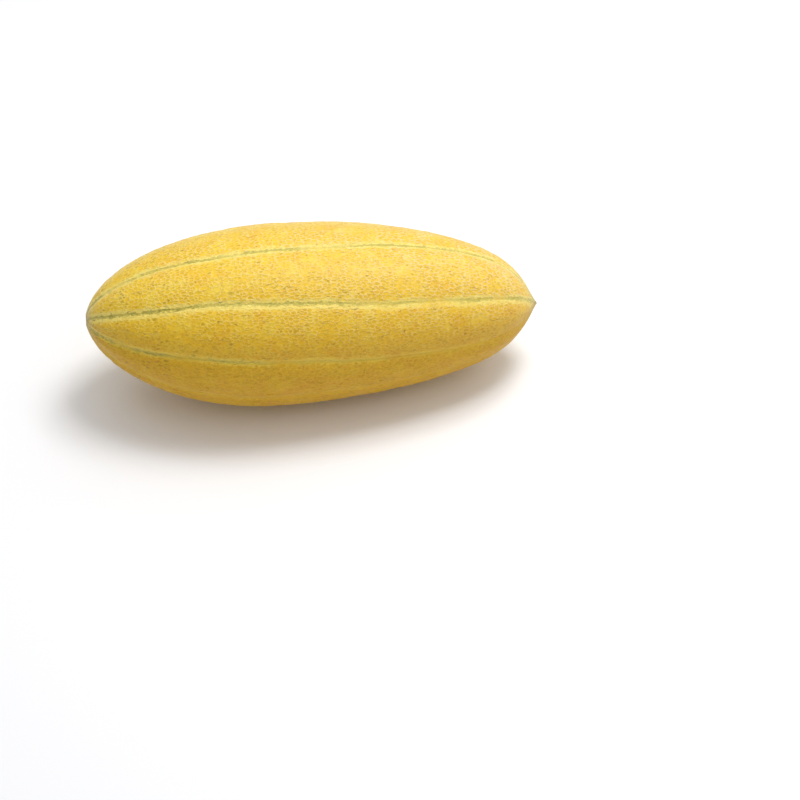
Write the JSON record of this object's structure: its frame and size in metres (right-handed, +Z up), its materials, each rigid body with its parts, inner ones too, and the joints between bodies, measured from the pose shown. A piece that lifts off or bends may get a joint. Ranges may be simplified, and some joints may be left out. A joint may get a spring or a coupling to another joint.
{
  "type": "muskmelon",
  "caption": "Whole long netted muskmelon lying on its side, with shallow ribs, sunken sutures, a raised net, a round stem scar and a pointed blossom end.",
  "frame": {"origin": "middle of the bounding box's underside, on the surface that the fruit lies on", "axes": "+X along the fruit towards its pointed blossom end, +Z up, +Y to the side away from the picture's camera"},
  "size_m": [0.3384, 0.1378, 0.1352],
  "materials": {
    "rind": "golden yellow netted rind with cream net, orange blush and green suture lines; matte to satin"
  },
  "bodies": {
    "root": {"melon": "rind"}
  },
  "joints": []
}
